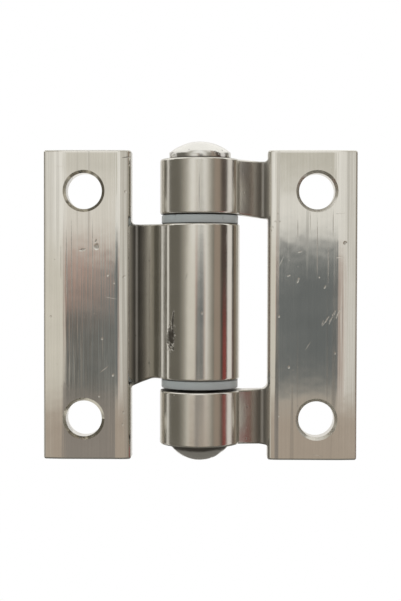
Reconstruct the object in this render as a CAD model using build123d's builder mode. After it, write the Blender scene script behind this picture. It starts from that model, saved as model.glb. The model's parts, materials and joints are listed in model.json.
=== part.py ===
from build123d import *
from dataclasses import dataclass
import os
from math import cos, radians, sin

# A cast stainless hinge with two screw-on leaves, opened flat.
# Millimetres. The pin stands on Z, the leaves lie left and right of it along X,
# and their screw faces look along -Y. The origin is on the pin axis, halfway up the hinge.

# Leaf plates, which grinding has left a little unequal in width
open_width = 60.8
leaf_height = 60.0
left_leaf_width = 17.0
right_leaf_width = 17.3
leaf_thickness = 4.6
leaf_drop = 0.6  # the plates' middle lies this far below the origin
plate_corner = 0.45
edge_round = 0.4

# The polished screw face falls away beside its two long edges, more widely on the outer side
outer_crown_width = 3.2
outer_crown_fall = 0.42
outer_crown_blend = 20.0
inner_crown_width = 1.4
inner_crown_fall = 0.3
inner_crown_blend = 5.0

# Knuckles
knuckle_radius = 7.6
centre_knuckle_length = 29.5
centre_knuckle_lift = 0.25  # its middle lies this far above the origin
upper_setback = 2.75  # from half the leaf height to the upper knuckle's end
lower_setback = 3.1  # and to the lower knuckle's

# Arms: each climbs from a valley beside the plate to the side of its knuckle
arm_top_angle = 9.0  # where the slope meets the knuckle, in degrees in front of its middle
valley_gap = 1.1  # from the plate's inner edge to the bottom of the valley
valley_depth = 1.5
shoulder_step = 0.4  # from the plate's inner edge to the top of the valley's far side
valley_blend = 0.6
shoulder_blend = 1.2
root_blend = 0.6

# Behind, the arms are hollowed out between the plate and the knuckle
relief_gap = 0.6  # from the plate's inner edge to where the back turns in
relief_angle = 22.0  # where it meets the knuckle, in degrees behind its middle
relief_blend = 1.0

# Screw holes
hole_spacing = 44.2
hole_from_axis = 22.6
hole_diameter = 7.0
hole_mouth = 8.15
hole_back_chamfer = 0.3

# Pin: a formed head at the top and a riveted one at the foot
pin_diameter = 8.0
pin_clearance = 0.05
bore_chamfer = 0.3
head_diameter = 11.8
head_rim = 1.25
head_dome = 2.2
head_round = 0.35
head_chamfer = 0.35
rivet_diameter = 11.2
rivet_dome = 3.2

# Washers between the knuckles
washer_inset = 0.3  # from the side of the knuckles to the rim of a washer
washer_thickness = 1.6
washer_seat_clearance = 0.05
upper_play = 0.15
lower_play = 0.45
washer_bore_clearance = 0.15
washer_chamfer = 0.15

# Places that follow from the sizes above
overrun = 1.0  # how far a cutting outline reaches past the metal
outer_x = open_width / 2
back_y = knuckle_radius  # the backs of the plates are flush with the backs of the knuckles
face_y = back_y - leaf_thickness
plate_foot = -leaf_height / 2 - leaf_drop
plate_top = plate_foot + leaf_height
centre_foot = centre_knuckle_lift - centre_knuckle_length / 2
centre_top = centre_knuckle_lift + centre_knuckle_length / 2
upper_foot = centre_top + washer_seat_clearance + washer_thickness + upper_play
upper_top = leaf_height / 2 - upper_setback
lower_foot = -leaf_height / 2 + lower_setback
lower_top = centre_foot - washer_seat_clearance - washer_thickness - lower_play
bore_radius = pin_diameter / 2 + pin_clearance
washer_radius = knuckle_radius - washer_inset


@dataclass(frozen=True)
class Flare:
    """How one edge of an arm, seen from the front, spreads on its way to the plate."""

    start: float  # from the knuckle's side to where it starts
    growth: float  # how much taller it makes the arm at the plate; less than 0 where it narrows
    bend: float  # radius where it starts
    corner: float  # radius in the corner at the plate


@dataclass(frozen=True)
class Arm:
    """A knuckle and the arm that carries it."""

    foot: float
    top: float
    below: Flare
    above: Flare


# The moulds differ: every arm spreads in its own way
upper_arm = Arm(
    foot=upper_foot,
    top=upper_top,
    below=Flare(start=-0.5, growth=0.65, bend=6.0, corner=0.35),
    above=Flare(start=0.4, growth=0.06, bend=6.0, corner=0.7),
)
lower_arm = Arm(
    foot=lower_foot,
    top=lower_top,
    below=Flare(start=-0.5, growth=0.95, bend=6.0, corner=0.35),
    above=Flare(start=-0.5, growth=-0.35, bend=16.0, corner=1.2),
)
centre_arm = Arm(
    foot=centre_foot,
    top=centre_top,
    below=Flare(start=1.3, growth=2.0, bend=4.0, corner=0.6),
    above=Flare(start=0.4, growth=0.1, bend=6.0, corner=0.8),
)


def corner_near(sketch, place):
    """The corner of a sketch that lies nearest to a place on its plane."""
    x, y = place
    return sketch.vertices().sort_by_distance((x, y, 0))[0]


def cast_leaf(leaf_width, arms):
    """One leaf casting, on the +X side of the pin, with its arms and their knuckles."""
    inner_x = outer_x - leaf_width
    valley = (inner_x - valley_gap, face_y + valley_depth)
    slope_top = (
        knuckle_radius * cos(radians(arm_top_angle)),
        -knuckle_radius * sin(radians(arm_top_angle)),
    )
    shoulder = (inner_x + shoulder_step, face_y + inner_crown_fall)
    inner_crown = (inner_x + inner_crown_width, face_y)
    outer_crown = (outer_x - outer_crown_width, face_y)
    far_x = outer_x + overrun
    far_fall = outer_crown_fall * (outer_crown_width + overrun) / outer_crown_width
    near_x = -knuckle_radius - overrun
    past_inner_x = inner_x + overrun
    relief_start = (inner_x - relief_gap, back_y)
    relief_end = (
        knuckle_radius * cos(radians(relief_angle)),
        knuckle_radius * sin(radians(relief_angle)),
    )

    with BuildPart() as leaf:
        # Seen from above: knuckle, slope, valley and plate in one outline
        with BuildSketch(Plane.XY.offset(plate_foot - overrun)) as plan:
            with BuildLine():
                Polyline(
                    slope_top,
                    valley,
                    shoulder,
                    inner_crown,
                    outer_crown,
                    (far_x, face_y + far_fall),
                    (far_x, back_y),
                    relief_start,
                    relief_end,
                )
                CenterArc(
                    (0, 0),
                    knuckle_radius,
                    relief_angle,
                    360 - relief_angle - arm_top_angle,
                )
            make_face()
            fillet(corner_near(plan, slope_top), radius=root_blend)
            fillet(corner_near(plan, valley), radius=valley_blend)
            fillet(corner_near(plan, shoulder), radius=shoulder_blend)
            fillet(corner_near(plan, inner_crown), radius=inner_crown_blend)
            fillet(corner_near(plan, outer_crown), radius=outer_crown_blend)
            fillet(corner_near(plan, relief_start), radius=relief_blend)
            fillet(corner_near(plan, relief_end), radius=relief_blend)
        extrude(amount=leaf_height + 2 * overrun)

        # Seen from the front: the plate, and a band for each arm with its knuckle
        with BuildSketch(Plane.XZ) as front:
            with Locations((outer_x - leaf_width / 2, plate_foot + leaf_height / 2)):
                Rectangle(leaf_width, leaf_height)
            for arm in arms:
                with BuildLine():
                    Polyline(
                        (near_x, arm.foot),
                        (knuckle_radius + arm.below.start, arm.foot),
                        (inner_x, arm.foot - arm.below.growth),
                        (past_inner_x, arm.foot - arm.below.growth),
                        (past_inner_x, arm.top + arm.above.growth),
                        (inner_x, arm.top + arm.above.growth),
                        (knuckle_radius + arm.above.start, arm.top),
                        (near_x, arm.top),
                        close=True,
                    )
                make_face()
            for arm in arms:
                for edge_z, outward, flare in ((arm.foot, -1, arm.below), (arm.top, 1, arm.above)):
                    start = (knuckle_radius + flare.start, edge_z)
                    at_plate = (inner_x, edge_z + outward * flare.growth)
                    fillet(corner_near(front, start), radius=flare.bend)
                    fillet(corner_near(front, at_plate), radius=flare.corner)
            for x in (inner_x, outer_x):
                for z in (plate_foot, plate_top):
                    fillet(corner_near(front, (x, z)), radius=plate_corner)
        extrude(amount=2 * knuckle_radius, both=True, mode=Mode.INTERSECT)

        # The whole outline is rounded over, front and back
        along_walls = leaf.edges().filter_by(Axis.Y) + leaf.edges().filter_by(Axis.Z)
        fillet(leaf.edges() - along_walls, radius=edge_round)

        # Screw holes: a countersunk edge in front and a broken one behind
        screw_face = Plane(
            origin=(hole_from_axis, face_y, (plate_foot + plate_top) / 2),
            x_dir=(1, 0, 0),
            z_dir=(0, -1, 0),
        )
        with Locations(screw_face):
            with GridLocations(1, hole_spacing, 1, 2):
                CounterSinkHole(
                    radius=hole_diameter / 2,
                    counter_sink_radius=hole_mouth / 2,
                    counter_sink_angle=90,
                )
        back_face = leaf.faces().sort_by(Axis.Y)[-1]
        chamfer(back_face.inner_wires().edges(), length=hole_back_chamfer)

        # Bore for the pin, its mouths broken at every knuckle end
        with Locations(Plane.XY):
            Hole(radius=bore_radius)
        for arm in arms:
            for z in (arm.foot, arm.top):
                knuckle_end = leaf.faces().filter_by(Axis.Z).sort_by_distance((0, 0, z))[0]
                chamfer(knuckle_end.inner_wires().edges(), length=bore_chamfer)
    return leaf.part


def washer(seat_z, side):
    """One ring washer on a face at seat_z, rising from it (side 1) or hanging below it (side -1)."""
    with BuildPart(Plane.XY.offset(seat_z + side * washer_thickness / 2)) as ring:
        Cylinder(washer_radius, washer_thickness)
        Hole(radius=pin_diameter / 2 + washer_bore_clearance)
        chamfer(ring.edges().filter_by(GeomType.CIRCLE), length=washer_chamfer)
    return ring.part


os.makedirs("parts", exist_ok=True)

# Right leaf: the casting with a knuckle at each end of the pin
with BuildPart() as right_leaf:
    add(cast_leaf(right_leaf_width, [upper_arm, lower_arm]))
right_leaf.part.label = "right_leaf"
export_step(right_leaf.part, "parts/right_leaf.step")

# Left leaf: the casting with the long centre knuckle, made to the other hand
with BuildPart() as left_leaf:
    mirror(cast_leaf(left_leaf_width, [centre_arm]), about=Plane.YZ)
left_leaf.part.label = "left_leaf"
export_step(left_leaf.part, "parts/left_leaf.step")

# Pin: shank, formed head and riveted foot, turned in one piece
with BuildPart() as hinge_pin:
    with BuildSketch(Plane.XZ) as pin_profile:
        with BuildLine():
            head_arc = TangentArc(
                (0, upper_top + head_rim + head_dome),
                (head_diameter / 2, upper_top + head_rim),
                tangent=(1, 0),
            )
            rivet_arc = TangentArc(
                (0, lower_foot - rivet_dome),
                (rivet_diameter / 2, lower_foot),
                tangent=(1, 0),
            )
            Polyline(
                head_arc @ 1,
                (head_diameter / 2, upper_top),
                (pin_diameter / 2, upper_top),
                (pin_diameter / 2, lower_foot),
                rivet_arc @ 1,
            )
            Line(head_arc @ 0, rivet_arc @ 0)
        make_face()
        fillet(corner_near(pin_profile, (head_diameter / 2, upper_top + head_rim)), radius=head_round)
        chamfer(corner_near(pin_profile, (head_diameter / 2, upper_top)), length=head_chamfer)
    revolve(axis=Axis.Z)
hinge_pin.part.label = "hinge_pin"
export_step(hinge_pin.part, "parts/hinge_pin.step")

# Washers: each lies against the centre knuckle, and its play is on the outer side
with BuildPart() as upper_washer:
    add(washer(centre_top + washer_seat_clearance, 1))
upper_washer.part.label = "upper_washer"
export_step(upper_washer.part, "parts/upper_washer.step")

with BuildPart() as lower_washer:
    add(washer(centre_foot - washer_seat_clearance, -1))
lower_washer.part.label = "lower_washer"
export_step(lower_washer.part, "parts/lower_washer.step")
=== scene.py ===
import json
import logging
import math
from dataclasses import dataclass
from enum import Enum
from typing import Callable

import bpy
import numpy as np
from mathutils import Matrix, Vector

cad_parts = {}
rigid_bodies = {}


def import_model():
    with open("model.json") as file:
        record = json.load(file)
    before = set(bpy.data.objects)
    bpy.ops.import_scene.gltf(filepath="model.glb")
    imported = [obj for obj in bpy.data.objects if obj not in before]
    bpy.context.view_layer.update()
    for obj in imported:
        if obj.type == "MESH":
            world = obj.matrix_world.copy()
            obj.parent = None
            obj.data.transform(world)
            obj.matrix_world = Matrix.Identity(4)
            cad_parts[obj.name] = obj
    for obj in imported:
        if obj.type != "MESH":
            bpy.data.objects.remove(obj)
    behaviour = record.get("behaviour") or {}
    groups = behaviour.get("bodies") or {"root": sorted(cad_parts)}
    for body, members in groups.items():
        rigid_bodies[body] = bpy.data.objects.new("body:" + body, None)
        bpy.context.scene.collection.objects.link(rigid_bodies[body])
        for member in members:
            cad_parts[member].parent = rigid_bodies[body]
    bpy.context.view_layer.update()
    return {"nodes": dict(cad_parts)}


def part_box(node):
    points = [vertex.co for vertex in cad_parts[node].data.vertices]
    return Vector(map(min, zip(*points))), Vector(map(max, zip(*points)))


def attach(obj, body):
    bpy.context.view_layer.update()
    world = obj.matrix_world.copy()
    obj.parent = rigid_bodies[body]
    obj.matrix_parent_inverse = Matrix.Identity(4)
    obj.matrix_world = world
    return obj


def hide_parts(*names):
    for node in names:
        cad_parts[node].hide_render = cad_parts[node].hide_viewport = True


# The start-up scene's own cube, light and camera would count as part of the object
for spare in list(bpy.data.objects):
    bpy.data.objects.remove(spare)

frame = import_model()

MM = 0.001
KNUCKLE_RADIUS = 7.6
PHOTO_LONG_SIDE = 601

log = logging.getLogger("butterfly hinge")

Socket = bpy.types.NodeSocket
Sockets = bpy.types.bpy_prop_collection
Colour = tuple[float, float, float]
Pair = tuple[float, float]


class Hand(Enum):
    """Which side of the pin a leaf lies on, seen from the screw faces."""

    LEFT = -1
    RIGHT = 1


# Node graphs


class Graph:
    """Places and links the nodes of one node tree."""

    def __init__(self, tree: bpy.types.NodeTree) -> None:
        """Keeps the tree that the nodes go into.

        Args:
            tree: a material's, a world's or a group's node tree.
        """
        self.tree = tree

    def node(self, kind: str, **options: object) -> bpy.types.Node:
        """Adds one node.

        Args:
            kind: the node's class name.
            options: properties of the node, by name.

        Returns:
            The new node.
        """
        made = self.tree.nodes.new(kind)
        for name, value in options.items():
            setattr(made, name, value)
        return made

    def feed(self, socket: Socket, value: object) -> None:
        """Links a socket into another, or sets the other to a plain value."""
        if isinstance(value, bpy.types.NodeSocket):
            self.tree.links.new(value, socket)
        else:
            socket.default_value = value

    def math(self, operation: str, first: object, second: object = 0.0, third: object = 0.0) -> Socket:
        """One step of arithmetic on numbers or sockets.

        Args:
            operation: the Math node's operation.
            first: left operand.
            second: right operand.
            third: third operand, for the operations that have one.

        Returns:
            The socket with the result.
        """
        made = self.node("ShaderNodeMath", operation=operation)
        for socket, value in zip(made.inputs, (first, second, third)):
            self.feed(socket, value)
        return made.outputs[0]

    def times(self, first: object, second: object) -> Socket:
        """The product of two numbers."""
        return self.math("MULTIPLY", first, second)

    def times_plus(self, first: object, second: object, third: object) -> Socket:
        """The product of the first two numbers, and the third added."""
        return self.math("MULTIPLY_ADD", first, second, third)

    def rest(self, value: object) -> Socket:
        """What is left of 1 when the value is taken away."""
        return self.math("SUBTRACT", 1.0, value)

    def vector(self, *parts: object) -> Socket:
        """A vector from its components."""
        made = self.node("ShaderNodeCombineXYZ")
        for socket, value in zip(made.inputs, parts):
            self.feed(socket, value)
        return made.outputs[0]

    def parts(self, vector: object) -> Sockets:
        """The three components of a vector."""
        made = self.node("ShaderNodeSeparateXYZ")
        self.feed(made.inputs[0], vector)
        return made.outputs

    def grown(self, vector: object, factor: object) -> Socket:
        """A vector or colour multiplied by a number."""
        made = self.node("ShaderNodeVectorMath", operation="SCALE")
        self.feed(made.inputs[0], vector)
        self.feed(made.inputs["Scale"], factor)
        return made.outputs[0]

    def cells(self, vector: object, spacing: object, dimensions: str = "3D") -> tuple[Sockets, Sockets]:
        """Cells round random points.

        Args:
            vector: where they are read.
            spacing: their size, about.
            dimensions: of the space that is cut into cells.

        Returns:
            The cells' own outputs, and three random numbers for each cell.
        """
        made = self.node("ShaderNodeTexVoronoi", feature="F1", voronoi_dimensions=dimensions)
        self.feed(made.inputs["Vector"], vector)
        self.feed(made.inputs["Scale"], self.math("DIVIDE", 1.0, spacing))
        chance = self.node("ShaderNodeSeparateColor")
        self.feed(chance.inputs[0], made.outputs["Color"])
        return made.outputs, chance.outputs

    def scaled(self, vector: object, scale: tuple[float, float, float]) -> Socket:
        """A vector multiplied by another, component by component."""
        made = self.node("ShaderNodeVectorMath", operation="MULTIPLY")
        self.feed(made.inputs[0], vector)
        self.feed(made.inputs[1], scale)
        return made.outputs[0]

    def rise(self, value: object, low: object, high: object) -> Socket:
        """0 up to low, 1 past high, and a smooth step between them."""
        made = self.node("ShaderNodeMapRange", interpolation_type="SMOOTHSTEP")
        self.feed(made.inputs["Value"], value)
        self.feed(made.inputs["From Min"], low)
        self.feed(made.inputs["From Max"], high)
        return made.outputs["Result"]

    def within(self, value: object, low: float, high: float, soft: float) -> Socket:
        """1 between low and high, 0 outside, with edges as wide as soft.

        Args:
            value: what is tested.
            low: where the mask begins.
            high: where it ends.
            soft: width of each edge.

        Returns:
            The mask.
        """
        begin = self.rise(value, low - soft / 2, low + soft / 2)
        end = self.rise(value, high - soft / 2, high + soft / 2)
        return self.math("SUBTRACT", begin, end)

    def noise(self, vector: object, scale: float, detail: float = 2.0, roughness: float = 0.5) -> Socket:
        """Smooth noise around 0.5.

        Args:
            vector: where it is read.
            scale: how many swells to a unit of the vector.
            detail: octaves.
            roughness: weight of the finer octaves.

        Returns:
            The noise value.
        """
        made = self.node("ShaderNodeTexNoise")
        self.feed(made.inputs["Vector"], vector)
        self.feed(made.inputs["Scale"], scale)
        self.feed(made.inputs["Detail"], detail)
        self.feed(made.inputs["Roughness"], roughness)
        return made.outputs[0]

    def mix(self, factor: object, first: object, second: object) -> Socket:
        """The first colour, turned into the second one as far as the factor says."""
        made = self.node("ShaderNodeMix", data_type="RGBA")
        self.feed(made.inputs[0], factor)
        self.feed(made.inputs[6], opaque(first))
        self.feed(made.inputs[7], opaque(second))
        return made.outputs[2]

    def blend(self, factor: object, first: object, second: object) -> Socket:
        """The first number, turned into the second one as far as the factor says."""
        made = self.node("ShaderNodeMix", data_type="FLOAT")
        self.feed(made.inputs[0], factor)
        self.feed(made.inputs[2], first)
        self.feed(made.inputs[3], second)
        return made.outputs[0]

    def place(self, tree: bpy.types.NodeTree, **inputs: object) -> Sockets:
        """Puts a shared group into this graph.

        Args:
            tree: the group.
            inputs: its inputs, by name.

        Returns:
            The outputs of the group's node.
        """
        made = self.node("ShaderNodeGroup")
        made.node_tree = tree
        for name, value in inputs.items():
            self.feed(made.inputs[name], value)
        return made.outputs


def opaque(colour: object) -> object:
    """A colour with its alpha of 1, or the socket as it was given."""
    if isinstance(colour, tuple):
        return (*colour, 1.0)
    return colour


def metres(pair: Pair) -> Pair:
    """Two lengths in metres, from millimetres."""
    return pair[0] * MM, pair[1] * MM


def new_group(
    name: str, inputs: dict[str, float | None], outputs: list[str]
) -> tuple[Graph, Sockets, Sockets]:
    """Makes an empty shader group.

    Args:
        name: the group's name.
        inputs: each input and its value at first; None stands for a vector.
        outputs: the outputs, all plain values.

    Returns:
        The group's graph, what it is given, and where its results go.
    """
    tree = bpy.data.node_groups.new(name, "ShaderNodeTree")
    for title, value in inputs.items():
        kind = "NodeSocketVector" if value is None else "NodeSocketFloat"
        socket = tree.interface.new_socket(name=title, in_out="INPUT", socket_type=kind)
        if value is not None:
            socket.default_value = value
    for title in outputs:
        tree.interface.new_socket(name=title, in_out="OUTPUT", socket_type="NodeSocketFloat")
    graph = Graph(tree)
    return graph, graph.node("NodeGroupInput").outputs, graph.node("NodeGroupOutput").inputs


# Effects that more than one finish uses


def brush_lines() -> bpy.types.NodeTree:
    """Long hairlines beside each other, as an abrasive belt leaves them.

    Noise is read on coordinates that are divided by the lines' pitch across and by their
    length along, so that it changes quickly from line to line and slowly along one.
    The Across and Along inputs are metres.

    Returns:
        The group, with outputs Lines, from -1 to 1, and Deep, the few strong lines, from 0 to 1.
    """
    graph, given, result = new_group(
        "brush lines",
        {"Across": 0.0, "Along": 0.0, "Pitch": 0.5 * MM, "Length": 20 * MM, "Seed": 0.0},
        ["Lines", "Deep"],
    )
    across = graph.math("DIVIDE", given["Across"], given["Pitch"])
    along = graph.math("DIVIDE", given["Along"], given["Length"])
    where = graph.vector(across, along, given["Seed"])
    fine = graph.noise(where, 1.0, detail=2.0, roughness=0.6)
    graph.feed(result["Lines"], graph.times_plus(fine, 2.0, -1.0))
    strong = graph.noise(graph.scaled(where, (0.45, 0.6, 1.7)), 1.0, detail=0.0)
    graph.feed(result["Deep"], graph.rise(strong, 0.66, 0.76))
    return graph.tree


def cast_pits() -> bpy.types.NodeTree:
    """Small round pits scattered over a surface.

    Space is cut into cells round random points. A share of the cells has a pit at its point,
    and the mask falls from 1 at the point to 0 at the pit's rim.

    Returns:
        The group, with the output Pits, from 0 to 1.
    """
    graph, given, result = new_group(
        "cast pits", {"Vector": None, "Spacing": 1 * MM, "Size": 0.2, "Share": 0.3}, ["Pits"]
    )
    cell, chance = graph.cells(given["Vector"], given["Spacing"])
    chosen = graph.math("LESS_THAN", chance[0], given["Share"])
    rim = graph.times(given["Size"], graph.math("ADD", 0.4, chance[1]))
    depth = graph.rest(graph.rise(cell["Distance"], 0.0, rim))
    graph.feed(result["Pits"], graph.times(chosen, depth))
    return graph.tree


def stray_scratches() -> bpy.types.NodeTree:
    """Short straight scratches in random directions.

    The surface is cut into flat cells round random points. In a share of them lies one scratch
    through the point: the mask is 1 where the distance across the scratch's own direction is
    under half its width and the distance along it under half its length.

    Returns:
        The group, with the output Scratches, from 0 to 1.
    """
    graph, given, result = new_group(
        "stray scratches",
        {"Across": 0.0, "Along": 0.0, "Spacing": 4 * MM, "Width": 0.1 * MM, "Share": 0.4, "Seed": 0.0},
        ["Scratches"],
    )
    where = graph.node("ShaderNodeCombineXYZ")
    graph.feed(where.inputs[0], graph.math("ADD", given["Across"], given["Seed"]))
    graph.feed(where.inputs[1], given["Along"])
    cell, chance = graph.cells(where.outputs[0], given["Spacing"], "2D")
    offset = graph.node("ShaderNodeVectorMath", operation="SUBTRACT")
    graph.feed(offset.inputs[0], where.outputs[0])
    graph.feed(offset.inputs[1], cell["Position"])
    turned_back = graph.node("ShaderNodeVectorRotate", rotation_type="Z_AXIS")
    graph.feed(turned_back.inputs["Vector"], offset.outputs[0])
    graph.feed(turned_back.inputs["Angle"], graph.times(chance[0], math.pi))
    across, along, _ = graph.parts(turned_back.outputs[0])
    width = graph.times(given["Width"], graph.math("ADD", 0.3, chance[1]))
    thin = graph.rest(graph.rise(graph.math("ABSOLUTE", across), 0.0, width))
    length = graph.times(given["Spacing"], 0.3)
    short = graph.rest(graph.rise(graph.math("ABSOLUTE", along), 0.0, length))
    chosen = graph.math("LESS_THAN", chance[2], given["Share"])
    graph.feed(result["Scratches"], graph.times(graph.times(thin, short), chosen))
    return graph.tree


def surface_mark() -> bpy.types.NodeTree:
    """One mark at a given place: an ellipse, turned, whose rim strays by the Wander input.

    The distance from the middle is measured in half widths across and half lengths along, so
    the rim lies at 1. The mask is 1 up to a little under half of that and falls to 0 at the rim.

    Returns:
        The group, with the output Mark, from 0 to 1.
    """
    graph, given, result = new_group(
        "surface mark",
        {"Across": 0.0, "Up": 0.0, "Half Width": MM, "Half Length": MM, "Turn": 0.0, "Wander": 0.0},
        ["Mark"],
    )
    where = graph.vector(given["Across"], given["Up"])
    turned_back = graph.node("ShaderNodeVectorRotate", rotation_type="Z_AXIS")
    graph.feed(turned_back.inputs["Vector"], where)
    graph.feed(turned_back.inputs["Angle"], given["Turn"])
    sides = graph.vector(given["Half Width"], given["Half Length"], 1.0)
    shares = graph.node("ShaderNodeVectorMath", operation="DIVIDE")
    graph.feed(shares.inputs[0], turned_back.outputs[0])
    graph.feed(shares.inputs[1], sides)
    away = graph.node("ShaderNodeVectorMath", operation="LENGTH")
    graph.feed(away.inputs[0], shares.outputs[0])
    distance = graph.math("ADD", away.outputs["Value"], given["Wander"])
    graph.feed(result["Mark"], graph.rest(graph.rise(distance, 0.45, 1.0)))
    return graph.tree


def tone_drift() -> bpy.types.NodeTree:
    """Slow changes of tone, as on metal that was polished by hand: smooth noise from -1 to 1."""
    graph, given, result = new_group("tone drift", {"Vector": None, "Swell": 6 * MM}, ["Drift"])
    swell = graph.grown(given["Vector"], graph.math("DIVIDE", 1.0, given["Swell"]))
    drift = graph.times_plus(graph.noise(swell, 1.0, detail=3.0), 4.0, -2.0)
    graph.feed(result["Drift"], drift)
    return graph.tree


class Effects:
    """The shared shader groups, each built once."""

    def __init__(self) -> None:
        """Builds them."""
        self.brush_lines = brush_lines()
        self.cast_pits = cast_pits()
        self.stray_scratches = stray_scratches()
        self.surface_mark = surface_mark()
        self.tone_drift = tone_drift()


# Finishes


@dataclass(frozen=True)
class Mark:
    """A dent, scratch or gouge on a screw face or a knuckle's front.

    Where it lies, its half width and half length, in millimetres; the depth in micrometres,
    negative for metal that stands up; the turn of its length from upright, clockwise in
    degrees; how much dirt it holds; how far its edge strays, as a share of its size.
    """

    across: float
    up: float
    half_width: float
    half_length: float
    depth: float
    turn: float = 0.0
    darkening: float = 0.0
    ragged: float = 0.2


LEFT_MARKS = (
    Mark(-14.32, 27.99, 0.12, 0.85, 55, 82, 0.55, 0.1),
    Mark(-14.44, 21.39, 0.25, 0.29, 45),
    Mark(-22.8, 10.11, 0.25, 0.75, 55, 78, 0.3, 0.1),
    Mark(-20.05, 10.73, 0.56, 0.7, 75, 10, 0.35, 0.15),
    Mark(-20.2, 11.85, 0.15, 0.43, 40, 20, 0.4),
    Mark(-20.86, 10.11, 0.07, 7.35, 5, 0, 0.5, 0.1),
    Mark(-25.89, 7.79, 0.1, 7.74, 6, 0, 0.45),
    Mark(-24.92, 8.56, 0.09, 8.9, 6, 0, 0.45),
    Mark(-26.99, 7.79, 0.08, 4.64, 4, 0, 0.3),
    Mark(-18.97, -7.11, 0.19, 0.23, 30),
    Mark(-16.84, -14.17, 0.19, 0.31, 30, 20),
    Mark(-29.03, -2.85, 0.17, 0.31, 25, 30),
    Mark(-14.81, -21.42, 0.17, 0.31, 30, 0, 0, 0.3),
    Mark(-15.0, -23.75, 0.17, 0.23, 25, 0, 0, 0.3),
    Mark(-19.55, -18.33, 0.19, 0.19, 25),
    Mark(-14.71, 4.89, 0.21, 0.39, 30, 60),
    Mark(-17.81, 5.27, 0.19, 0.35, 25, 20),
    Mark(-16.64, 3.73, 0.17, 0.23, 25),
    Mark(-5.25, -6.28, 0.78, 2.7, 150, 3, 0.95, 0.55),
    Mark(-4.98, -3.29, 0.26, 2.32, 90, 4, 0.9, 0.4),
    Mark(-4.83, -8.53, 0.17, 0.5, 70, 10, 0.8, 0.4),
    Mark(-5.19, -6.84, 0.23, 0.87, -90, 5, 0, 0.3),
    Mark(0.56, -1.71, 0.21, 0.25, 45),
    Mark(-2.41, 4.97, 0.07, 0.97, 8, 20, 0.2, 0.1),
    Mark(-7.34, 9.44, 0.07, 0.97, 8, 35, 0.2, 0.1),
)

RIGHT_MARKS = (
    Mark(28.01, 11.5, 0.41, 0.44, 60, 0, 0.35, 0.15),
    Mark(26.88, 8.77, 0.08, 0.66, 14, 78, 0, 0.1),
    Mark(22.63, 10.5, 0.08, 6.96, 5, 0, 0.5, 0.1),
    Mark(25.65, 15.14, 0.08, 3.29, 5, 0, 0.5, 0.1),
    Mark(24.76, 7.79, 0.08, 5.61, 4, 0, 0.35),
    Mark(18.86, 14.17, 0.08, 2.32, 5, 0, 0.5, 0.1),
    Mark(21.27, 15.53, 0.07, 2.71, 4, 0, 0.3),
    Mark(14.56, 15.58, 0.19, 0.19, 35),
    Mark(15.43, 15.58, 0.19, 0.19, 35),
    Mark(15.01, 17.07, 0.19, 0.19, 35),
    Mark(14.02, 14.52, 0.17, 0.17, 30),
    Mark(13.71, 13.88, 0.17, 0.17, 30),
    Mark(19.3, 9.78, 0.1, 0.43, 14, 75, 0.1, 0.1),
    Mark(17.15, 5.18, 0.1, 0.39, 12, 75, 0, 0.1),
    Mark(18.95, 4.31, 0.15, 0.5, 18, 20, 0.1, 0.6),
    Mark(24.14, 3.01, 0.15, 0.31, 18, 30, 0, 0.4),
    Mark(15.28, -2.66, 0.19, 0.25, 30),
    Mark(26.11, -9.82, 0.19, 0.25, 30),
    Mark(17.21, -12.53, 0.21, 0.27, 30),
    Mark(15.28, -22.0, 0.19, 0.25, 30),
    Mark(23.05, 4.89, 0.15, 0.17, 25),
    Mark(23.73, -3.86, 0.08, 0.61, 6, 22, 0, 0.1),
    Mark(24.02, -3.98, 0.08, 0.85, 6, 37, 0, 0.1),
    Mark(24.51, -3.44, 0.08, 0.67, 6, 25, 0, 0.1),
    Mark(24.7, -3.0, 0.08, 0.53, 6, 40, 0, 0.1),
    Mark(25.18, -3.65, 0.08, 0.8, 6, 23, 0, 0.1),
    Mark(25.39, -3.12, 0.08, 0.77, 6, 39, 0, 0.1),
    Mark(25.85, -2.1, 0.08, 0.71, 6, 34, 0, 0.1),
    Mark(26.09, -1.93, 0.08, 0.65, 6, 20, 0, 0.1),
    Mark(26.52, -2.57, 0.08, 0.68, 6, 25, 0, 0.1),
    Mark(26.84, -1.89, 0.08, 0.84, 6, 38, 0, 0.1),
    Mark(27.08, -1.38, 0.08, 0.7, 6, 28, 0, 0.1),
    Mark(0.0, 21.1, 0.07, 4.64, 8, 0, 0.5),
)


# Lengths in metres, sizes as shares of the spacing
LEAF_PITS = {"Spacing": 0.9 * MM, "Size": 0.22, "Share": 0.16}
LEAF_SPECKS = {"Spacing": 2.6 * MM, "Size": 0.07, "Share": 0.28}
LEAF_SCRATCHES = {"Spacing": 5 * MM, "Width": 0.07 * MM, "Share": 0.16}
PIN_PITS = {"Spacing": 0.7 * MM, "Size": 0.3, "Share": 0.22}


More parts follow.
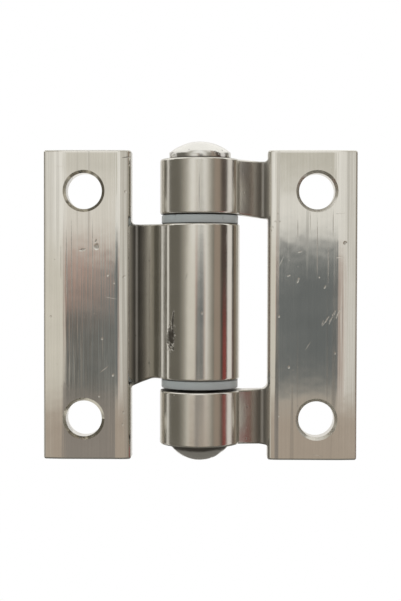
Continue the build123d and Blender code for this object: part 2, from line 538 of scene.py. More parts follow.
@dataclass(frozen=True)
class LeafSteel:
    """Cast stainless steel: belt-ground screw face, buffed knuckles, rougher arms.

    Relief is in micrometres, lengths are in millimetres. A pair is where a soft edge begins and
    ends. A facing pair is compared with how squarely the surface looks along an axis.
    """

    hand: Hand
    seed: float
    marks: tuple[Mark, ...]
    colour: Colour = (0.69, 0.67, 0.62)
    # Colour of the dirt and of the painted shade on the knuckles' end faces
    grime_and_shade: Colour = (0.10, 0.09, 0.075)
    plate_starts: Pair = (12.7, 13.7)
    knuckle_ends: Pair = (6.7, 8.7)
    recess_depth: Pair = (1.6, 4.2)
    face_facing: Pair = (0.75, 0.95)
    front_facing: Pair = (0.2, 0.5)
    end_facing: Pair = (0.6, 0.9)
    face_roughness: float = 0.075
    knuckle_roughness: float = 0.14
    arm_roughness: float = 0.13
    drift_roughness: float = 0.02
    recess_roughness: float = 0.25
    darkening_roughness: float = 0.35
    drift_tone: float = 0.03
    line_tone: float = 0.09
    # Painted shade on the arms, as a share of the colour
    arm_painted_shade: float = 0.1
    # Painted shade in the arms' recesses, as a share of the colour
    recess_painted_shade: float = 0.6
    pit_dirt: float = 0.1
    arm_pit_dirt: float = 0.6
    speck_dirt: float = 0.45
    deep_line_dirt: float = 0.14
    # Painted shade on the knuckles' end faces, where they meet the washers
    knuckle_end_painted_shade: float = 0.85
    face_line_pitch: float = 0.4
    face_line_length: float = 30.0
    face_line_height: float = 6.5
    deep_line_height: float = 2.0
    buff_line_pitch: float = 0.35
    buff_line_length: float = 9.0
    buff_line_height: float = 0.8
    buff_height: float = 8.0
    cast_height: float = 0.7
    pit_height: float = 28.0
    scratch_height: float = 4.0
    pit_share: float = 0.08
    arm_pit_share: float = 0.8
    wander_swells: float = 2.2
    smooth_rim: float = 0.15
    top_roll_starts: float = 28.7
    top_roll: float = 110.0
    inner_roll: float = 0.0
    inner_roll_place: Pair = (14.5, 16.5)
    shoulder_flat: float = 0.0
    shoulder_front: float = 4.47
    shoulder_reach: float = 2.9
    shoulder_side: Pair = (4.5, 5.5)
    shoulder_back: Pair = (-1.0, 7.0)

    def dress(self, effects: Effects) -> bpy.types.Material:
        """Builds the material.

        Args:
            effects: the shared shader groups.

        Returns:
            The material for one leaf.
        """
        material, graph, shader = new_material(f"{self.hand.name.lower()}_leaf_steel")
        where = graph.node("ShaderNodeTexCoord")
        here = where.outputs["Object"]
        x, y, z = graph.parts(here)
        aspect = graph.parts(where.outputs["Normal"])
        out = graph.times(x, float(self.hand.value))

        # Regions
        plate = graph.rise(out, *metres(self.plate_starts))
        face = graph.times(plate, graph.rise(graph.math("ABSOLUTE", aspect[1]), *self.face_facing))
        past_knuckle = graph.rise(out, *metres(self.knuckle_ends))
        arm = graph.math("SUBTRACT", past_knuckle, plate)
        knuckle = graph.rest(past_knuckle)
        front = graph.rise(graph.times(aspect[1], -1.0), *self.front_facing)
        # The arms' recessed fronts, which get painted shade and more roughness
        recess = graph.times(graph.times(arm, front), graph.rise(y, *metres(self.recess_depth)))
        ends = graph.rise(graph.math("ABSOLUTE", aspect[2]), *self.end_facing)
        # Painted shade on the knuckles' end faces, where they meet the washers
        knuckle_end_shade = graph.times(graph.times(ends, knuckle), self.knuckle_end_painted_shade)

        # Patterns
        lines = graph.place(
            effects.brush_lines,
            Across=x,
            Along=z,
            Pitch=self.face_line_pitch * MM,
            Length=self.face_line_length * MM,
            Seed=self.seed,
        )
        angle = graph.math("ARCTAN2", x, graph.times(y, -1.0))
        buffing = graph.place(
            effects.brush_lines,
            Across=z,
            Along=graph.times(angle, KNUCKLE_RADIUS * MM),
            Pitch=self.buff_line_pitch * MM,
            Length=self.buff_line_length * MM,
            Seed=self.seed + 3.0,
        )
        pits = graph.place(effects.cast_pits, Vector=here, **LEAF_PITS)[0]
        specks = graph.place(effects.cast_pits, Vector=here, **LEAF_SPECKS)[0]
        scratches = graph.place(
            effects.stray_scratches, Across=x, Along=z, Seed=self.seed * MM * 40, **LEAF_SCRATCHES
        )[0]
        drift, waves, mottle = [
            graph.place(effects.tone_drift, Vector=here, Swell=swell * MM)[0] for swell in (5, 11, 1.5)
        ]

        # Marks
        wander = graph.times_plus(graph.noise(here, self.wander_swells / MM, detail=3.0), 3.0, -1.5)
        marked, mark_relief = 0.0, 0.0
        for mark in self.marks:
            spot = graph.place(
                effects.surface_mark,
                **{
                    "Across": graph.math("SUBTRACT", x, mark.across * MM),
                    "Up": graph.math("SUBTRACT", z, mark.up * MM),
                    "Half Width": mark.half_width * MM,
                    "Half Length": mark.half_length * MM,
                    "Turn": math.radians(mark.turn),
                    "Wander": graph.times(wander, mark.ragged) if mark.ragged > self.smooth_rim else 0.0,
                },
            )[0]
            marked = graph.math("MAXIMUM", graph.times(spot, mark.darkening), marked)
            mark_relief = graph.times_plus(spot, -mark.depth, mark_relief)
        marked = graph.times(marked, front)
        mark_relief = graph.times(mark_relief, front)

        # Colour
        tone = graph.times_plus(drift, self.drift_tone, 1.0)
        # Painted shade: the arms' colour is darkened, the left leaf's more than the right's
        tone = graph.times_plus(arm, -self.arm_painted_shade, tone)
        # Painted shade: the arms' fronts, where they lie furthest back, are darkened further
        tone = graph.times_plus(recess, -self.recess_painted_shade, tone)
        tone = graph.times_plus(graph.times(lines["Lines"], face), self.line_tone, tone)
        toned = graph.grown(self.colour, tone)
        darkening = graph.times(pits, graph.times_plus(arm, self.arm_pit_dirt, self.pit_dirt))
        darkening = graph.math("MAXIMUM", darkening, graph.times(specks, self.speck_dirt))
        darkening = graph.math("MAXIMUM", darkening, graph.times(graph.times(lines["Deep"], face), self.deep_line_dirt))
        # The darkening holds the painted shade on the knuckles' ends beside the real dirt in pits, specks,
        # lines and marks
        darkening = graph.math("MAXIMUM", darkening, graph.math("MAXIMUM", marked, knuckle_end_shade))
        graph.feed(shader.inputs["Base Color"], graph.mix(darkening, toned, self.grime_and_shade))
        shader.inputs["Metallic"].default_value = 1.0

        # Roughness
        rough = graph.blend(face, self.arm_roughness, self.face_roughness)
        rough = graph.blend(knuckle, rough, self.knuckle_roughness)
        rough = graph.times_plus(drift, self.drift_roughness, rough)
        rough = graph.times_plus(recess, self.recess_roughness, rough)
        rough = graph.times_plus(darkening, self.darkening_roughness, rough)
        graph.feed(shader.inputs["Roughness"], rough)

        # Relief. With its products shared and its nodes in another order, the leaves have rendered black
        relief = graph.times(graph.times(lines["Lines"], face), self.face_line_height)
        sunk = graph.times(graph.times(lines["Deep"], face), -self.deep_line_height)
        relief = graph.math("ADD", relief, sunk)
        bare = graph.rest(face)
        buffed = graph.times(graph.times(buffing["Lines"], bare), self.buff_line_height)
        relief = graph.math("ADD", relief, buffed)
        relief = graph.times_plus(waves, graph.times_plus(bare, 1.0, self.buff_height), relief)
        relief = graph.math("ADD", relief, graph.times(graph.times(mottle, bare), self.cast_height))
        pitted = graph.times(pits, graph.times_plus(arm, self.arm_pit_share, self.pit_share))
        relief = graph.times_plus(pitted, -self.pit_height, relief)
        relief = graph.times_plus(specks, -self.pit_height, relief)
        relief = graph.times_plus(scratches, -self.scratch_height, relief)
        relief = graph.math("ADD", relief, mark_relief)
        past = graph.math("SUBTRACT", graph.math("DIVIDE", z, MM), self.top_roll_starts)
        past = graph.math("MAXIMUM", past, 0.0)
        rolled = graph.times(graph.times(past, past), face)
        relief = graph.times_plus(rolled, -self.top_roll, relief)
        if self.inner_roll:
            inner = graph.times(graph.rise(out, *metres(self.inner_roll_place)), front)
            relief = graph.times_plus(inner, self.inner_roll, relief)
        if self.shoulder_flat:
            back = graph.math("ADD", graph.math("DIVIDE", y, MM), self.shoulder_front)
            back = graph.math("MINIMUM", graph.math("MAXIMUM", back, 0.0), self.shoulder_reach)
            side = graph.times(graph.rise(out, *metres(self.shoulder_side)), graph.rest(ends))
            side = graph.times(side, graph.rest(graph.rise(y, *metres(self.shoulder_back))))
            relief = graph.times_plus(graph.times(graph.times(back, back), side), self.shoulder_flat, relief)
        graph.feed(shader.inputs["Normal"], bump(graph, relief))
        return material


@dataclass(frozen=True)
class PinSteel:
    """Plain turned steel whose rims are pitted and hammered, with painted shade on its shank and where its
    head and foot meet the knuckles.

    Heights along the pin are in millimetres, relief is in micrometres.
    """

    colour: Colour = (0.70, 0.69, 0.66)
    grime_and_shade: Colour = (0.07, 0.06, 0.05)
    roughness: float = 0.18
    drift_roughness: float = 0.04
    pit_roughness: float = 0.4
    drift_tone: float = 0.05
    head_rim: Pair = (27.3, 29.3)
    foot_rim: Pair = (-28.1, -26.8)
    rim_soft: float = 0.5
    pit_share: float = 0.12
    rim_pit_share: float = 0.75
    seam_top: Pair = (27.25, 27.75)
    seam_foot: Pair = (-28.2, -27.6)
    seam_stray: float = 0.2
    # Painted shade next to the knuckles, as a share of the colour
    seam_painted_shade: float = 0.85
    drift_height: float = 6.0
    pit_height: float = 45.0

    def dress(self, effects: Effects) -> bpy.types.Material:
        """Builds the material.

        Args:
            effects: the shared shader groups.

        Returns:
            The pin's material.
        """
        material, graph, shader = new_material("peened_pin_steel")
        here = graph.node("ShaderNodeTexCoord").outputs["Object"]
        z = graph.parts(here)[2]
        drift = graph.place(effects.tone_drift, Vector=here, Swell=2.5 * MM)[0]
        pits = graph.place(effects.cast_pits, Vector=here, **PIN_PITS)[0]
        head_rim = graph.within(z, *metres(self.head_rim), self.rim_soft * MM)
        foot_rim = graph.within(z, *metres(self.foot_rim), self.rim_soft * MM)
        rims = graph.math("ADD", head_rim, foot_rim)
        pitted = graph.times(pits, graph.times_plus(rims, self.rim_pit_share, self.pit_share))
        worn = graph.grown(self.colour, graph.times_plus(drift, self.drift_tone, 1.0))
        # Painted shade: the shank, the head's underside and the top of the foot, next to the knuckles, are
        # darkened
        under = graph.rest(graph.rise(z, *metres(self.seam_top)))
        over = graph.rise(graph.times_plus(drift, self.seam_stray * MM, z), *metres(self.seam_foot))
        seam = graph.times(graph.times(under, over), self.seam_painted_shade)
        darkened = graph.math("MAXIMUM", pitted, seam)
        graph.feed(shader.inputs["Base Color"], graph.mix(darkened, worn, self.grime_and_shade))
        shader.inputs["Metallic"].default_value = 1.0
        rough = graph.times_plus(drift, self.drift_roughness, self.roughness)
        graph.feed(shader.inputs["Roughness"], graph.times_plus(pitted, self.pit_roughness, rough))
        relief = graph.times_plus(pitted, -self.pit_height, graph.times(drift, self.drift_height))
        graph.feed(shader.inputs["Normal"], bump(graph, relief))
        return material


@dataclass(frozen=True)
class WasherPlastic:
    """Grey-blue moulded plastic with a soft gloss, rubbed and a little soiled."""

    colour: Colour = (0.52, 0.58, 0.61)
    soil: Colour = (0.10, 0.11, 0.11)
    roughness: float = 0.34
    drift_roughness: float = 0.06
    soil_from: Pair = (0.5, 1.6)
    soil_share: float = 0.5
    grain_height: float = 5.0

    def dress(self, effects: Effects) -> bpy.types.Material:
        """Builds the material.

        Args:
            effects: the shared shader groups.

        Returns:
            The washers' material.
        """
        material, graph, shader = new_material("grey_washer_plastic")
        here = graph.node("ShaderNodeTexCoord").outputs["Object"]
        drift, fine = [
            graph.place(effects.tone_drift, Vector=here, Swell=swell * MM)[0] for swell in (1.6, 0.5)
        ]
        patches = graph.rise(graph.times_plus(fine, 0.5, drift), *self.soil_from)
        darkened = graph.times(patches, self.soil_share)
        graph.feed(shader.inputs["Base Color"], graph.mix(darkened, self.colour, self.soil))
        graph.feed(shader.inputs["Roughness"], graph.times_plus(drift, self.drift_roughness, self.roughness))
        shader.inputs["IOR"].default_value = 1.5
        graph.feed(shader.inputs["Normal"], bump(graph, graph.times(fine, self.grain_height)))
        return material


def new_material(name: str) -> tuple[bpy.types.Material, Graph, bpy.types.Node]:
    """An empty material with its Principled shader linked to the output.

    Args:
        name: the material's name.

    Returns:
        The material, its graph and its shader node.
    """
    material = bpy.data.materials.new(name)
    material.use_nodes = True
    tree = material.node_tree
    tree.nodes.clear()
    graph = Graph(tree)
    shader = graph.node("ShaderNodeBsdfPrincipled")
    output = graph.node("ShaderNodeOutputMaterial")
    tree.links.new(shader.outputs[0], output.inputs["Surface"])
    return material, graph, shader


def bump(graph: Graph, relief: Socket) -> Socket:
    """The normal of a surface whose height is given in micrometres."""
    made = graph.node("ShaderNodeBump")
    made.inputs["Strength"].default_value = 1.0
    made.inputs["Distance"].default_value = MM * MM
    graph.feed(made.inputs["Height"], relief)
    return made.outputs["Normal"]


# Surfaces


def rounded_path(corners: list[tuple[float, float, float]], steps: int = 5) -> np.ndarray:
    """An open path whose inner corners are rounded.

    Each corner is given with the radius of its rounding. The rounding is the arc that touches
    both sides of the corner, at the radius times the tangent of half the turn from it.

    Args:
        corners: (radius from the axis, height, rounding) of each corner, in millimetres.
        steps: points on each arc, less one.

    Returns:
        The path's points, one to a row.
    """
    parts = [np.array([corners[0][:2]])]
    for before, here, after in zip(corners, corners[1:], corners[2:]):
        corner = np.array(here[:2])
        back = np.array(before[:2]) - corner
        ahead = np.array(after[:2]) - corner
        back /= np.linalg.norm(back)
        ahead /= np.linalg.norm(ahead)
        half = math.acos(float(np.clip(-back @ ahead, -1, 1))) / 2
        if here[2] == 0 or half < 1e-4:
            parts.append(corner[None, :])
            continue
        middle = (back + ahead) / np.linalg.norm(back + ahead)
        centre = corner + middle * here[2] / math.cos(half)
        angles = np.linspace(-half, half, steps + 1)
        out = -middle
        side = (ahead - out * (ahead @ out)) / np.linalg.norm(ahead - out * (ahead @ out))
        arc = np.cos(angles)[:, None] * out + np.sin(angles)[:, None] * side
        parts.append(centre + here[2] * arc)
    parts.append(np.array([corners[-1][:2]]))
    return np.vstack(parts)


def cap_arc(radius: float, crown: float, edge: float, rise: float, steps: int) -> np.ndarray:
    """A domed end, from its rim to the axis.

    The dome is the circle through the rim at (radius, edge) and the axis at edge + rise,
    where it is level.

    Args:
        radius: of the rim.
        crown: where the arc ends before the axis, as a share of its sweep; the caller adds the pole.
        edge: height of the rim.
        rise: height of the dome over its rim, negative for a dome that hangs down.
        steps: points on the arc.

    Returns:
        The arc's points, rim first and the pole left out.
    """
    bend = (radius**2 + rise**2) / (2 * abs(rise))
    sweep = math.asin(min(1.0, radius / bend))
    angles = np.linspace(sweep, sweep * crown, steps)
    height = math.copysign(1.0, rise) * (bend * np.cos(angles) - bend + abs(rise))
    return np.column_stack([bend * np.sin(angles), edge + height])


def spread(path: np.ndarray, step: float) -> np.ndarray:
    """The same path with more points, none further apart than the step."""
    runs = np.linalg.norm(np.diff(path, axis=0), axis=1)
    along = np.concatenate([[0.0], np.cumsum(runs)])
    counts = np.maximum(1, np.ceil(runs / step).astype(int))
    spans = zip(along, along[1:], counts)
    inner = [np.linspace(start, end, count, endpoint=False) for start, end, count in spans]
    wanted = np.concatenate(inner + [along[-1:]])
    return np.column_stack([np.interp(wanted, along, path[:, 0]), np.interp(wanted, along, path[:, 1])])


def swells(angle: np.ndarray, along: np.ndarray, waves: int, seed: int) -> np.ndarray:
    """A smooth random field on a turned surface, about 1 in size.

    It is a sum of waves round the axis and along the path, each with its own whole number
    of periods round, its own frequency along and its own phase.

    Args:
        angle: angle round the axis at each point.
        along: distance along the path at each point, in millimetres.
        waves: how many waves are added.
        seed: of the random numbers.

    Returns:
        The field at each point.
    """
    random = np.random.default_rng(seed)
    rounds = random.integers(2, 15, waves)
    rates = random.uniform(0.2, 2.6, waves)
    phases = random.uniform(0, 2 * np.pi, waves)
    sizes = 1.0 / np.sqrt(rounds)
    total = np.zeros(np.broadcast(angle, along).shape)
    for turns, rate, phase, size in zip(rounds, rates, phases, sizes):
        total += size * np.sin(turns * angle + rate * along + phase)
    return total / np.sqrt((sizes**2).sum() / 2)


def mesh_object(name: str, points: list, faces: list) -> bpy.types.Object:
    """A new object in the scene, with a mesh of its own name.

    Args:
        name: of both.
        points: in metres.
        faces: the points of each face.

    Returns:
        The object.
    """
    mesh = bpy.data.meshes.new(name)
    mesh.from_pydata(points, [], faces)
    made = bpy.data.objects.new(name, mesh)
    bpy.context.scene.collection.objects.link(made)
    return made


def turned(
    name: str,
    path: np.ndarray,
    turns: int,
    closed: bool,
    stray: Callable[[np.ndarray, np.ndarray, np.ndarray], np.ndarray],
) -> bpy.types.Object:
    """A profile carried round the pin's axis.

    A point of the profile at radius r and height z goes to (r cos a, r sin a, z) for each
    angle a, after stray has been added to r. An open profile ends in two poles on the axis,
    each closed by a fan.

    Args:
        name: of the object.
        path: (radius, height) of the profile's points, in millimetres, bottom first.
        turns: how many angles.
        closed: whether the profile's end joins its start, as in a ring.
        stray: how much the radius departs, from angle, radius and height.

    Returns:
        The object, in metres, with its place in its mesh.
    """
    angle = np.linspace(0, 2 * np.pi, turns, endpoint=False)[:, None]
    radius, height = path[None, :, 0], path[None, :, 1]
    wide = radius + stray(angle, radius, height)
    grid = np.stack(
        [wide * np.cos(angle), wide * np.sin(angle), np.broadcast_to(height, wide.shape)], axis=-1
    )
    rows, columns = grid.shape[:2]
    index = np.arange(rows * columns).reshape(rows, columns)
    onward = np.roll(index, -1, axis=0)
    if closed:
        right = np.roll(index, -1, axis=1)
        quads = np.stack([index, onward, np.roll(onward, -1, axis=1), right], axis=-1).reshape(-1, 4)
        points = grid.reshape(-1, 3)
        faces = quads.tolist()
    else:
        quads = np.stack([index[:, :-1], onward[:, :-1], onward[:, 1:], index[:, 1:]], axis=-1)
        foot, top = rows * columns, rows * columns + 1
        poles = np.array([[0, 0, path[0, 1]], [0, 0, path[-1, 1]]])
        points = np.vstack([grid.reshape(-1, 3), poles])
        lower = np.stack([onward[:, 0], index[:, 0], np.full(rows, foot)], axis=-1)
        upper = np.stack([index[:, -1], onward[:, -1], np.full(rows, top)], axis=-1)
        faces = quads.reshape(-1, 4).tolist() + lower.tolist() + upper.tolist()
    made = mesh_object(name, (points * MM).tolist(), faces)
    made.data.shade_smooth()
    made.data.update()
    return made


# Sub-assemblies


@dataclass
class Leaf:
    """One leaf casting, which stays the CAD's own solid and gets its finish here."""

    node: str
    finish: LeafSteel

    def build(self, effects: Effects) -> bpy.types.Object:
        """Dresses the leaf.

        Args:
            effects: the shared shader groups.

        Returns:
            The leaf's object.
        """
        leaf = frame["nodes"][self.node]
        material = self.finish.dress(effects)
        for slot in leaf.material_slots:
            slot.material = material
        return leaf


@dataclass
class HingePin:
    """The pin: a shank with a formed head above and a hammered foot below. Millimetres."""

    node: str = "hinge_pin"
    body: str = "right_leaf_body"
    shank_radius: float = 4.0
    head_rim: float = 1.25
    foot_radius: float = 5.6
    foot_rim: float = 0.35
    upper_seat: float = 27.25
    lower_seat: float = -26.9
    head_round: float = 0.25
    foot_round: float = 0.12
    pole_share: float = 0.04
    arc_points: int = 26
    point_step: float = 0.5
    turns: int = 192
    hammer_marks: float = 0.09
    hammer_waves: int = 14
    hammer_seed: int = 7

    def build(self, effects: Effects, finish: PinSteel) -> bpy.types.Object:
        """Turns the pin, places it on its CAD node and dresses it.

        Args:
            effects: the shared shader groups.
            finish: the pin's steel.

        Returns:
            The pin's object.
        """
        low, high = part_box(self.node)
        top, bottom = high[2] / MM, low[2] / MM
        head_radius = (high[0] - low[0]) / 2 / MM
        seat, foot_seat = self.upper_seat, self.lower_seat
        rim_top = seat + self.head_rim
        head = cap_arc(head_radius, self.pole_share, rim_top, top - rim_top, self.arc_points)
        foot_edge = foot_seat - self.foot_rim
        foot = cap_arc(self.foot_radius, self.pole_share, foot_edge, bottom - foot_edge, self.arc_points)
        foot = foot[::-1]
        sides = rounded_path(
            [
                (*foot[-1], 0.0),
                (self.foot_radius, foot_seat, self.foot_round),
                (self.shank_radius, foot_seat, 0.0),
                (self.shank_radius, seat, 0.0),
                (head_radius, seat, self.head_round),
                (*head[0], 0.0),
            ]
        )
        path = np.vstack([foot[:-1], spread(sides, self.point_step), head[1:]])
        # The poles lie a little inside the rings next to them, which are level there
        path = np.vstack([[0.001, bottom], path, [0.001, top]])[1:-1]
        pin = turned("hinge_pin_turned", path, self.turns, False, self.stray)
        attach(pin, self.body)
        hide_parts(self.node)
        pin.data.materials.append(finish.dress(effects))
        return pin

    def stray(self, angle: np.ndarray, radius: np.ndarray, height: np.ndarray) -> np.ndarray:
        """How far hammering has moved the surface.

        The marks are smooth swells, full on the two rims and nothing on the shank and poles.

        Args:
            angle: angle round the axis.
            radius: distance from the axis.
            height: height along the axis.

        Returns:
            What is added to the radius, never outwards.
        """
        past = np.maximum(height - self.upper_seat, self.lower_seat - height)
        ends = np.clip(past / 0.4, 0, 1)
        off_axis = np.clip(radius / 3.0, 0, 1) ** 2
        marks = swells(angle, height * 1.5, self.hammer_waves, self.hammer_seed)
        return self.hammer_marks * ends * off_axis * np.minimum(marks - 0.6, 0.0) * 0.5


@dataclass
class Washer:
    """A plastic ring between two knuckles, with the witness of its mould. Millimetres."""

    node: str
    name: str
    gate_angle: float
    chamfer: float = 0.15
    bore_radius: float = 4.15
    gate_depth: float = 0.18
    gate_width: float = 0.035
    gate_from: float = 6.5
    turns: int = 240
    body: str = "right_leaf_body"

    def build(self, material: bpy.types.Material) -> bpy.types.Object:
        """Forms the ring on its CAD node.

        Args:
            material: the washers' plastic.

        Returns:
            The washer's object.
        """
        low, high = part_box(self.node)
        bottom, top = low[2] / MM, high[2] / MM
        rim = (high[0] - low[0]) / 2 / MM
        cut = self.chamfer
        ring = np.array(
            [
                (self.bore_radius, bottom + cut),
                (self.bore_radius + cut, bottom),
                (rim - cut * 1.3, bottom),
                (rim - cut * 0.35, bottom + cut * 0.35),
                (rim, bottom + cut * 1.3),
                (rim, (bottom + top) / 2),
                (rim, top - cut * 1.3),
                (rim - cut * 0.35, top - cut * 0.35),
                (rim - cut * 1.3, top),
                (self.bore_radius + cut, top),
                (self.bore_radius, top - cut),
            ]
        )
        washer = turned(self.name, ring, self.turns, True, self.stray)
        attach(washer, self.body)
        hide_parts(self.node)
        washer.data.materials.append(material)
        shading = washer.modifiers.new("even shading", "WEIGHTED_NORMAL")
        shading.keep_sharp = True
        return washer

    def stray(self, angle: np.ndarray, radius: np.ndarray, height: np.ndarray) -> np.ndarray:
        """The gate's notch: a narrow dip of the rim, shaped as exp of minus the squared angle from it."""
        away = np.abs((angle - self.gate_angle + np.pi) % (2 * np.pi) - np.pi)
        notch = np.exp(-((away / self.gate_width) ** 2))
        return -self.gate_depth * notch * (radius > self.gate_from)


# Studio and camera


@dataclass(frozen=True)
class Panel:
    """A soft patch of light or shade on the studio's tent. Degrees.

    Azimuth is 0 in front of the hinge, towards the camera, and grows to the right;
    elevation is above the horizon.
    """

    name: str
    azimuth: tuple[float, float]
    elevation: tuple[float, float]
    colour: Colour
    azimuth_soft: tuple[float, float] = (3.0, 3.0)
    elevation_soft: tuple[float, float] = (3.0, 3.0)
    strength: float = 1.0

    def share(self, azimuth: np.ndarray, elevation: np.ndarray) -> np.ndarray:
        """How much of the tent the patch takes: a smooth step at each of its four edges."""
        rows = step_up(azimuth, self.azimuth[0], self.azimuth_soft[0]) * (
            1 - step_up(azimuth, self.azimuth[1], self.azimuth_soft[1])
        )
        columns = step_up(elevation, self.elevation[0], self.elevation_soft[0]) * (
            1 - step_up(elevation, self.elevation[1], self.elevation_soft[1])
        )
        return self.strength * rows * columns


def step_up(value: np.ndarray, middle: float, soft: float) -> np.ndarray:
    """0 below the middle and 1 above it, with a smooth step as wide as soft."""
    share = np.clip((value - middle) / soft + 0.5, 0, 1)
    return share * share * (3 - 2 * share)


@dataclass
class Studio:
    """A light tent with soft panels round the hinge, a pale floor and a white background."""

    room: Colour = (0.17, 0.16, 0.135)
    radius: float = 1.3
    lowest: float = -50.0
    floor_depth: float = -0.25
    floor_radius: float = 0.32
    floor_colour: Colour = (0.62, 0.61, 0.59)
    flag_colour: Colour = (0.24, 0.235, 0.22)
    flag_depth: float = -0.085
    flag_half: tuple[float, float] = (0.11, 0.11)
    flag_centre: float = 0.02
    panels: tuple[Panel, ...] = (
        Panel("pale wall behind, right", (140, 190), (-60, 75), (0.90, 0.88, 0.85), (12, 3)),
        Panel("pale wall behind, left", (-190, -140), (-60, 75), (0.90, 0.88, 0.85), (3, 12)),
        Panel("pale strip on the right", (87, 107), (-60, 75), (0.88, 0.85, 0.82), (5, 7)),
        Panel("pale strip on the left", (-132, -99), (-60, 75), (0.92, 0.90, 0.86), (6, 4)),
        Panel("ceiling", (-190, 190), (24, 120), (1.15, 1.14, 1.10), (3, 3), (16, 3)),
        Panel("key skirt", (-48, 37), (-16, 100), (0.50, 0.475, 0.42), (34, 22), (14, 3)),
        Panel("key", (-29, 23), (-12, 100), (1.02, 1.01, 0.98), (20, 22), (10, 3)),
        Panel("key, lower part", (-36, 12), (-20, 1.6), (0.80, 0.77, 0.70), (20, 6), (4, 2.5)),
        Panel("tan wall", (43, 62), (-60, 60), (0.38, 0.31, 0.255), (4, 6)),
        Panel("dark wall", (65, 85), (-60, 50), (0.085, 0.07, 0.06), (5, 4)),
        Panel("red cloth low on the right", (71, 84), (-60, -2.2), (0.30, 0.07, 0.06), (5, 5), (3, 2)),
        Panel("low front", (-30, 30), (-60, -6.6), (0.50, 0.43, 0.366), (10, 10), (3, 2)),
        Panel("warm upper left", (-10, -3), (1.6, 9), (0.86, 0.83, 0.775), (4, 3), (2, 3), 0.8),
        Panel("shade over the left", (-12, -3), (4.6, 12), (0.74, 0.72, 0.66), (3, 3), (1.2, 3), 0.8),
        Panel("shade over the right", (0, 9), (4.2, 12), (0.70, 0.68, 0.62), (3, 3), (1.2, 3)),
        Panel("dark middle", (-9.5, 2), (-4.5, 0.6), (0.36, 0.385, 0.42), (3, 2), (2, 2), 0.5),
        Panel("warm rim, left", (-12, -5.5), (-3.6, 1.5), (0.52, 0.37, 0.32), (2, 0.7), (3.2, 2.0)),
        Panel("warm rim, right", (8, 17), (-6.2, 1.2), (0.52, 0.42, 0.37), (3, 5), (1.5, 1.2), 0.9),
        Panel("low front, left", (-14, -2), (-60, -5.6), (0.33, 0.30, 0.275), (4, 3), (3, 1.6)),
        Panel("dark middle, low left", (-10, -5.2), (-6.4, -1.7), (0.155, 0.155, 0.145), (3, 1), (2, 3.2)),
        Panel("dark middle, left", (-6.1, -0.5), (-6.0, 0.7), (0.235, 0.25, 0.25), (0.7, 1), (1.8, 1.4)),
        Panel("dark middle, right", (-0.5, 12), (-6.3, 1.75), (0.18, 0.195, 0.20), (2, 5), (1.2, 1.0)),
    )

    def light_at(self, azimuth: np.ndarray, elevation: np.ndarray) -> np.ndarray:
        """The tent's colour: the panels are laid over each other in their order."""
        light = np.broadcast_to(np.array(self.room), (*azimuth.shape, 3)).copy()
        for panel in self.panels:
            share = panel.share(azimuth, elevation)[..., None]
            light += share * (np.array(panel.colour) - light)
        return light

    def build(self) -> None:
        """Builds the tent, the floor and the world."""
        self.build_tent()
        self.build_floor()
        self.build_flag()
        self.build_world()

    def build_tent(self) -> None:
        """A dome with the point at azimuth a and elevation e at R (sin a cos e, -cos a cos e, sin e)."""
        azimuth = np.radians(np.linspace(-180, 180, 361)[:-1])[:, None]
        rings = [np.linspace(self.lowest, -12, 20), np.linspace(-11.5, 8, 40), np.linspace(10, 89, 40)]
        elevation = np.radians(np.concatenate(rings))[None, :]
        points = self.radius * np.stack(
            [
                np.sin(azimuth) * np.cos(elevation),
                -np.cos(azimuth) * np.cos(elevation),
                np.broadcast_to(np.sin(elevation), (azimuth.shape[0], elevation.shape[1])),
            ],
            axis=-1,
        )
        rows, columns = points.shape[:2]
        index = np.arange(rows * columns).reshape(rows, columns)
        onward = np.roll(index, -1, axis=0)
        quads = np.stack([index[:, :-1], index[:, 1:], onward[:, 1:], onward[:, :-1]], axis=-1)
        pole = np.array([[0, 0, self.radius]])
        fan = np.stack([index[:, -1], np.full(rows, rows * columns), onward[:, -1]], axis=-1)
        vertices = np.vstack([points.reshape(-1, 3), pole])
        tent = mesh_object("light_tent", vertices.tolist(), quads.reshape(-1, 4).tolist() + fan.tolist())
        degrees = np.degrees(np.broadcast_arrays(azimuth, elevation))
        light = self.light_at(degrees[0], degrees[1]).reshape(-1, 3)
        top = self.light_at(np.zeros(1), np.full(1, 90.0))
        colours = np.ones((len(vertices), 4))
        colours[:, :3] = np.vstack([light, top])
        layer = tent.data.color_attributes.new("panel_light", "FLOAT_COLOR", "POINT")
        layer.data.foreach_set("color", colours.ravel())
        tent.visible_camera = False
        tent.visible_shadow = False
        material = bpy.data.materials.new("tent_light")
        material.use_nodes = True
        material.node_tree.nodes.clear()
        graph = Graph(material.node_tree)
        painted = graph.node("ShaderNodeVertexColor", layer_name="panel_light")
        glow = graph.node("ShaderNodeEmission")
        output = graph.node("ShaderNodeOutputMaterial")
        graph.feed(glow.inputs["Color"], painted.outputs["Color"])
        graph.feed(output.inputs["Surface"], glow.outputs[0])
        tent.data.materials.append(material)

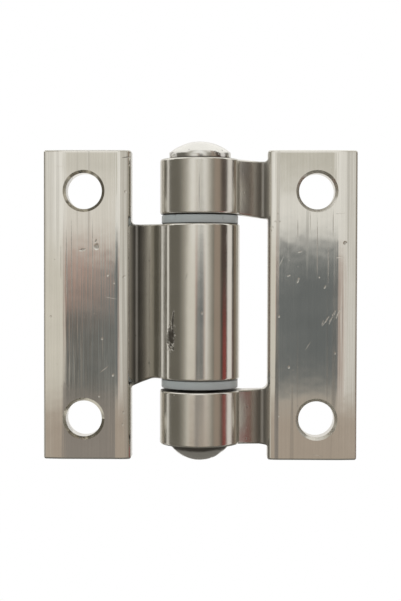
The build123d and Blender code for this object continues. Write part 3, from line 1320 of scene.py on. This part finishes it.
    def build_floor(self) -> None:
        """A flat disc that the camera sees as white, as it does the background."""
        angle = np.linspace(0, 2 * np.pi, 96, endpoint=False)
        rim = np.column_stack([np.cos(angle), np.sin(angle)]) * self.floor_radius
        points = np.column_stack([rim, np.full(len(angle), self.floor_depth)])
        floor = mesh_object("pale_floor", points.tolist(), [list(range(len(angle)))])
        material, graph, shader = new_material("floor_paint")
        shader.inputs["Base Color"].default_value = (*self.floor_colour, 1.0)
        shader.inputs["Roughness"].default_value = 0.9
        shader.inputs["Specular IOR Level"].default_value = 0.0
        white = graph.node("ShaderNodeEmission")
        choice = graph.node("ShaderNodeMixShader")
        graph.feed(choice.inputs[0], self.background_seen(graph))
        graph.feed(choice.inputs[1], shader.outputs[0])
        graph.feed(choice.inputs[2], white.outputs[0])
        output = next(node for node in graph.tree.nodes if node.type == "OUTPUT_MATERIAL")
        graph.feed(output.inputs["Surface"], choice.outputs[0])
        floor.data.materials.append(material)

    def build_flag(self) -> None:
        """A dark card close under the hinge, which the camera doesn't see: it keeps lower edges crisp."""
        wide, deep = self.flag_half
        low, high = self.flag_centre - deep, self.flag_centre + deep
        z = self.flag_depth
        corners = [(-wide, low, z), (wide, low, z), (wide, high, z), (-wide, high, z)]
        flag = mesh_object("dark_flag", corners, [(0, 1, 2, 3)])
        flag.visible_camera = False
        flag.visible_shadow = False
        material, _, shader = new_material("flag_cloth")
        shader.inputs["Base Color"].default_value = (*self.flag_colour, 1.0)
        shader.inputs["Roughness"].default_value = 1.0
        shader.inputs["Specular IOR Level"].default_value = 0.0
        flag.data.materials.append(material)

    @staticmethod
    def background_seen(graph: Graph) -> Socket:
        """1 for the rays that are to meet a white background: the camera's, and those off metal and glass."""
        rays = graph.node("ShaderNodeLightPath")
        seen = graph.math("MAXIMUM", rays.outputs["Is Camera Ray"], rays.outputs["Is Transmission Ray"])
        return graph.math("MAXIMUM", seen, rays.outputs["Is Glossy Ray"])

    def build_world(self) -> None:
        """White for the camera, metal and glass, and the plain room for everything else."""
        world = bpy.data.worlds.new("studio")
        bpy.context.scene.world = world
        world.use_nodes = True
        world.node_tree.nodes.clear()
        graph = Graph(world.node_tree)
        background = graph.node("ShaderNodeBackground")
        colour = graph.mix(self.background_seen(graph), self.room, (1.0, 1.0, 1.0))
        graph.feed(background.inputs["Color"], colour)
        output = graph.node("ShaderNodeOutputWorld")
        graph.feed(output.inputs["Surface"], background.outputs[0])


@dataclass(frozen=True)
class Viewpoint:
    """The camera, where the photograph was taken. Millimetres, radians and pixels."""

    place: tuple[float, float, float] = (4.7165, -251.36, 6.826)
    yaw: float = -0.0182
    pitch: float = 0.0255
    roll: float = 0.0021
    focal_pixels: float = 1314.8
    sensor: float = 36.0

    def build(self) -> bpy.types.Object:
        """Makes the camera.

        Returns:
            The scene's camera.
        """
        data = bpy.data.cameras.new("camera")
        data.sensor_fit = "AUTO"
        data.sensor_width = self.sensor
        data.lens = self.focal_pixels / PHOTO_LONG_SIDE * self.sensor
        data.clip_start = 0.01
        data.clip_end = 10.0
        camera = bpy.data.objects.new("camera", data)
        bpy.context.scene.collection.objects.link(camera)
        ahead = Vector(
            (
                math.sin(self.yaw) * math.cos(self.pitch),
                math.cos(self.yaw) * math.cos(self.pitch),
                -math.sin(self.pitch),
            )
        )
        right = Vector((math.cos(self.yaw), -math.sin(self.yaw), 0.0))
        up = right.cross(ahead)
        leaning_right = right * math.cos(self.roll) + up * math.sin(self.roll)
        leaning_up = up * math.cos(self.roll) - right * math.sin(self.roll)
        axes = Matrix((leaning_right, leaning_up, -ahead)).transposed()
        camera.matrix_world = Matrix.Translation(Vector(self.place) * MM) @ axes.to_4x4()
        bpy.context.scene.camera = camera
        return camera


def report(piece: bpy.types.Object) -> None:
    """Logs a finished piece with the size of its mesh."""
    log.info("%s: %d faces", piece.name, len(piece.data.polygons))


def main() -> None:
    """Builds the camera, the studio and every piece."""
    logging.basicConfig(level=logging.INFO, format="%(name)s: %(message)s")
    bpy.context.scene.view_settings.view_transform = "Standard"
    Viewpoint().build()
    Studio().build()
    effects = Effects()
    left_finish = LeafSteel(
        Hand.LEFT,
        1.0,
        LEFT_MARKS,
        arm_painted_shade=0.24,
        recess_painted_shade=0.4,
        inner_roll=240.0,
        shoulder_flat=108.0,
    )
    right_finish = LeafSteel(
        Hand.RIGHT,
        5.0,
        RIGHT_MARKS,
        knuckle_roughness=0.2,
        arm_roughness=0.24,
        recess_painted_shade=0.38,
        cast_height=3.0,
    )
    report(Leaf("left_leaf", left_finish).build(effects))
    report(Leaf("right_leaf", right_finish).build(effects))
    report(HingePin().build(effects, PinSteel()))
    plastic = WasherPlastic().dress(effects)
    report(Washer("upper_washer", "upper_washer_ring", math.radians(230)).build(plastic))
    report(Washer("lower_washer", "lower_washer_ring", math.radians(20)).build(plastic))


if __name__ == "__main__":
    main()
